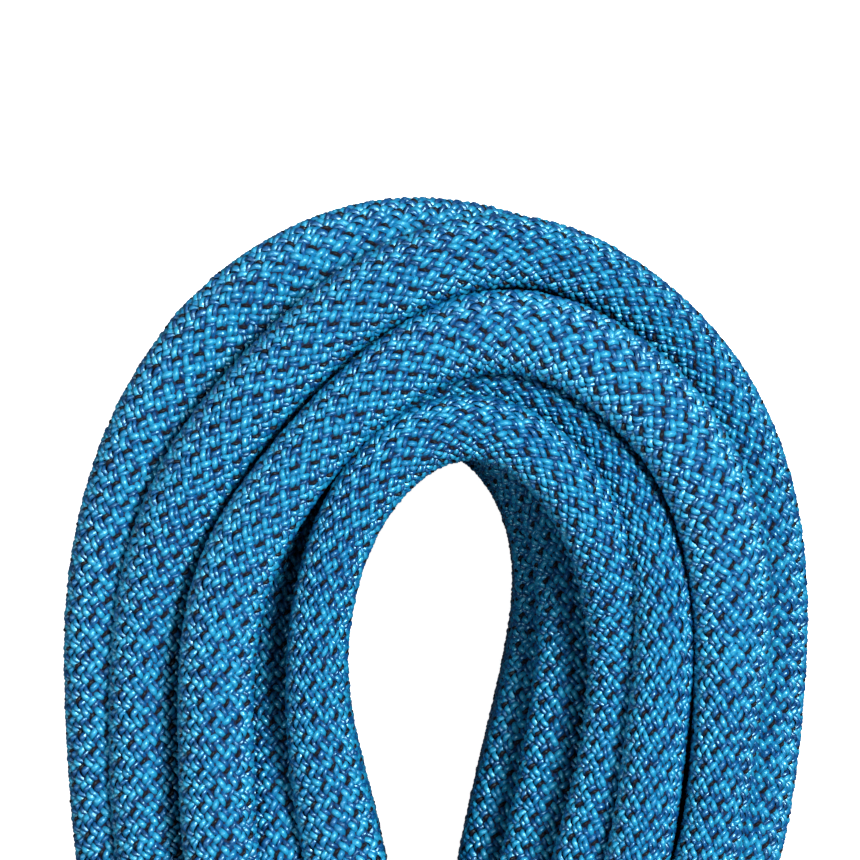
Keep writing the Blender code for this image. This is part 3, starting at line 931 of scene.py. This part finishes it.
# ---------------------------------------------------------------- camera, lights and floor
def place_camera():
    """The scene's camera, straight above the frame's centre."""
    data = bpy.data.cameras.new("camera")
    data.sensor_width = SENSOR_WIDTH
    data.lens = SENSOR_WIDTH * (CAMERA_HEIGHT - FRONT_Z) / FRAME_WIDTH
    data.clip_start, data.clip_end = CLIP_NEAR, CLIP_FAR
    camera = placed("camera", data)
    camera.location = (FRAME_CENTRE[0] * MM, FRAME_CENTRE[1] * MM, CAMERA_HEIGHT * MM)
    bpy.context.scene.camera = camera


def place_lamp(name, place, target, diameter, watts):
    """A round lamp that points at its target and that the camera doesn't see."""
    data = bpy.data.lights.new(name, "AREA")
    data.shape = "DISK"
    data.size = diameter
    data.energy = watts
    lamp = placed(name, data)
    lamp.location = place
    lamp.visible_camera = False
    aim = Vector(target) - Vector(place)
    lamp.rotation_euler = aim.to_track_quat("-Z", "Y").to_euler()


def light_studio():
    """The lamps, and a weak white sky."""
    for lamp in LAMPS:
        place_lamp(*lamp)
    world = bpy.data.worlds.new("studio")
    world.use_nodes = True
    sky = world.node_tree.nodes["Background"]
    sky.inputs["Color"].default_value = WHITE
    sky.inputs["Strength"].default_value = SKY_STRENGTH
    bpy.context.scene.world = world
    bpy.context.scene.view_settings.view_transform = "Standard"


def lay_floor():
    """A white floor with far white walls. The camera sees them, and they throw no light on the rope."""
    reach = STAGE_REACH
    corners = ((-reach, -reach), (reach, -reach), (reach, reach), (-reach, reach))
    points = [(x, y, z) for z in (0.0, STAGE_HEIGHT) for x, y in corners]
    mesh = bpy.data.meshes.new("floor")
    mesh.from_pydata(points, [], [(0, 1, 2, 3), (1, 0, 4, 5), (2, 1, 5, 6), (3, 2, 6, 7), (0, 3, 7, 4)])
    floor = placed("floor", mesh)
    floor.location.z = -STAGE_DROP
    floor.visible_diffuse = False
    floor.visible_glossy = False
    paint = Paint("floor_white", (0.8, 0.8, 0.8))
    paint.roughness(paint.noise(per_mm=0.05), low=0.85, high=0.95)
    paint.shader.inputs["Emission Color"].default_value = WHITE
    paint.shader.inputs["Emission Strength"].default_value = 1.0
    mesh.materials.append(paint.material)


# ---------------------------------------------------------------- the whole scene
def declare(rope, jackets, yarns, kept):
    """What each piece rides on, and which CAD parts it replaces."""
    for piece in [rope, jackets] + yarns:
        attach(piece, "root")
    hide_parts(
        "head_loops", "lower_loops", "waist_strands", "waist_wraps", "start_end_run", "working_end_run"
    )
    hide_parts("start_end_sheath", "working_end_sheath")


def build(nodes):
    """The rope in its sheath, its free ends, and the looks of the parts that stay."""
    line = Line(settled(laid_rope()))
    last = line.length - END_STRETCH
    stretches = ((0.0, END_STRETCH - END_GAP), (last + END_GAP, line.length))
    # The tube and the end jackets carry the painted shade of the gaps between the yarns.
    ground = gap_shade_finish()
    rope, path = tube_mesh("rope", line, END_STRETCH, last, ground)
    jackets = jackets_mesh("end_jackets", line, stretches, ground)
    yarns = dress(line, patch_looks(line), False)
    declare(rope, jackets, yarns, finish_kept_nodes(nodes))


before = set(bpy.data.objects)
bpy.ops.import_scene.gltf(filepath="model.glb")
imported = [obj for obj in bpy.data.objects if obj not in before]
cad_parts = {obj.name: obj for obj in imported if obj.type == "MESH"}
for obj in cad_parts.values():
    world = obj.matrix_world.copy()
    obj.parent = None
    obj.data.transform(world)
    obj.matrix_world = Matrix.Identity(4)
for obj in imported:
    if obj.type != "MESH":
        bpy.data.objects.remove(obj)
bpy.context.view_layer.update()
place_camera()
build(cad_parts)
light_studio()
lay_floor()
